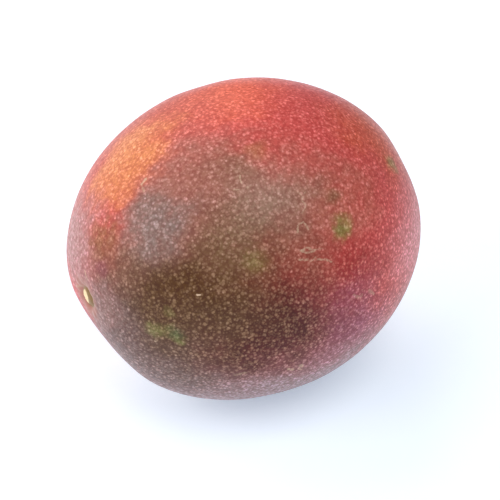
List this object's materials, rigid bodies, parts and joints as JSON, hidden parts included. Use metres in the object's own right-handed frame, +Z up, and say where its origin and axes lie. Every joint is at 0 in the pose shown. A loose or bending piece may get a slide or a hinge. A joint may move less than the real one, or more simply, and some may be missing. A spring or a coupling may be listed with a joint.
{
  "type": "passion fruit",
  "caption": "Whole purple-red passion fruit lying on its side on a small flat spot, with a corky stem scar at one end and a dry flower tip at the other.",
  "frame": {"origin": "on the surface the fruit rests on, under the centre of its bounding box", "axes": "+Z up; X along the fruit's long axis, with the stem end towards -X and the flower end towards +X"},
  "size_m": [0.0634, 0.055, 0.0547],
  "materials": {
    "rind": "satin"
  },
  "bodies": {
    "root": {"fruit": "rind"}
  },
  "joints": []
}
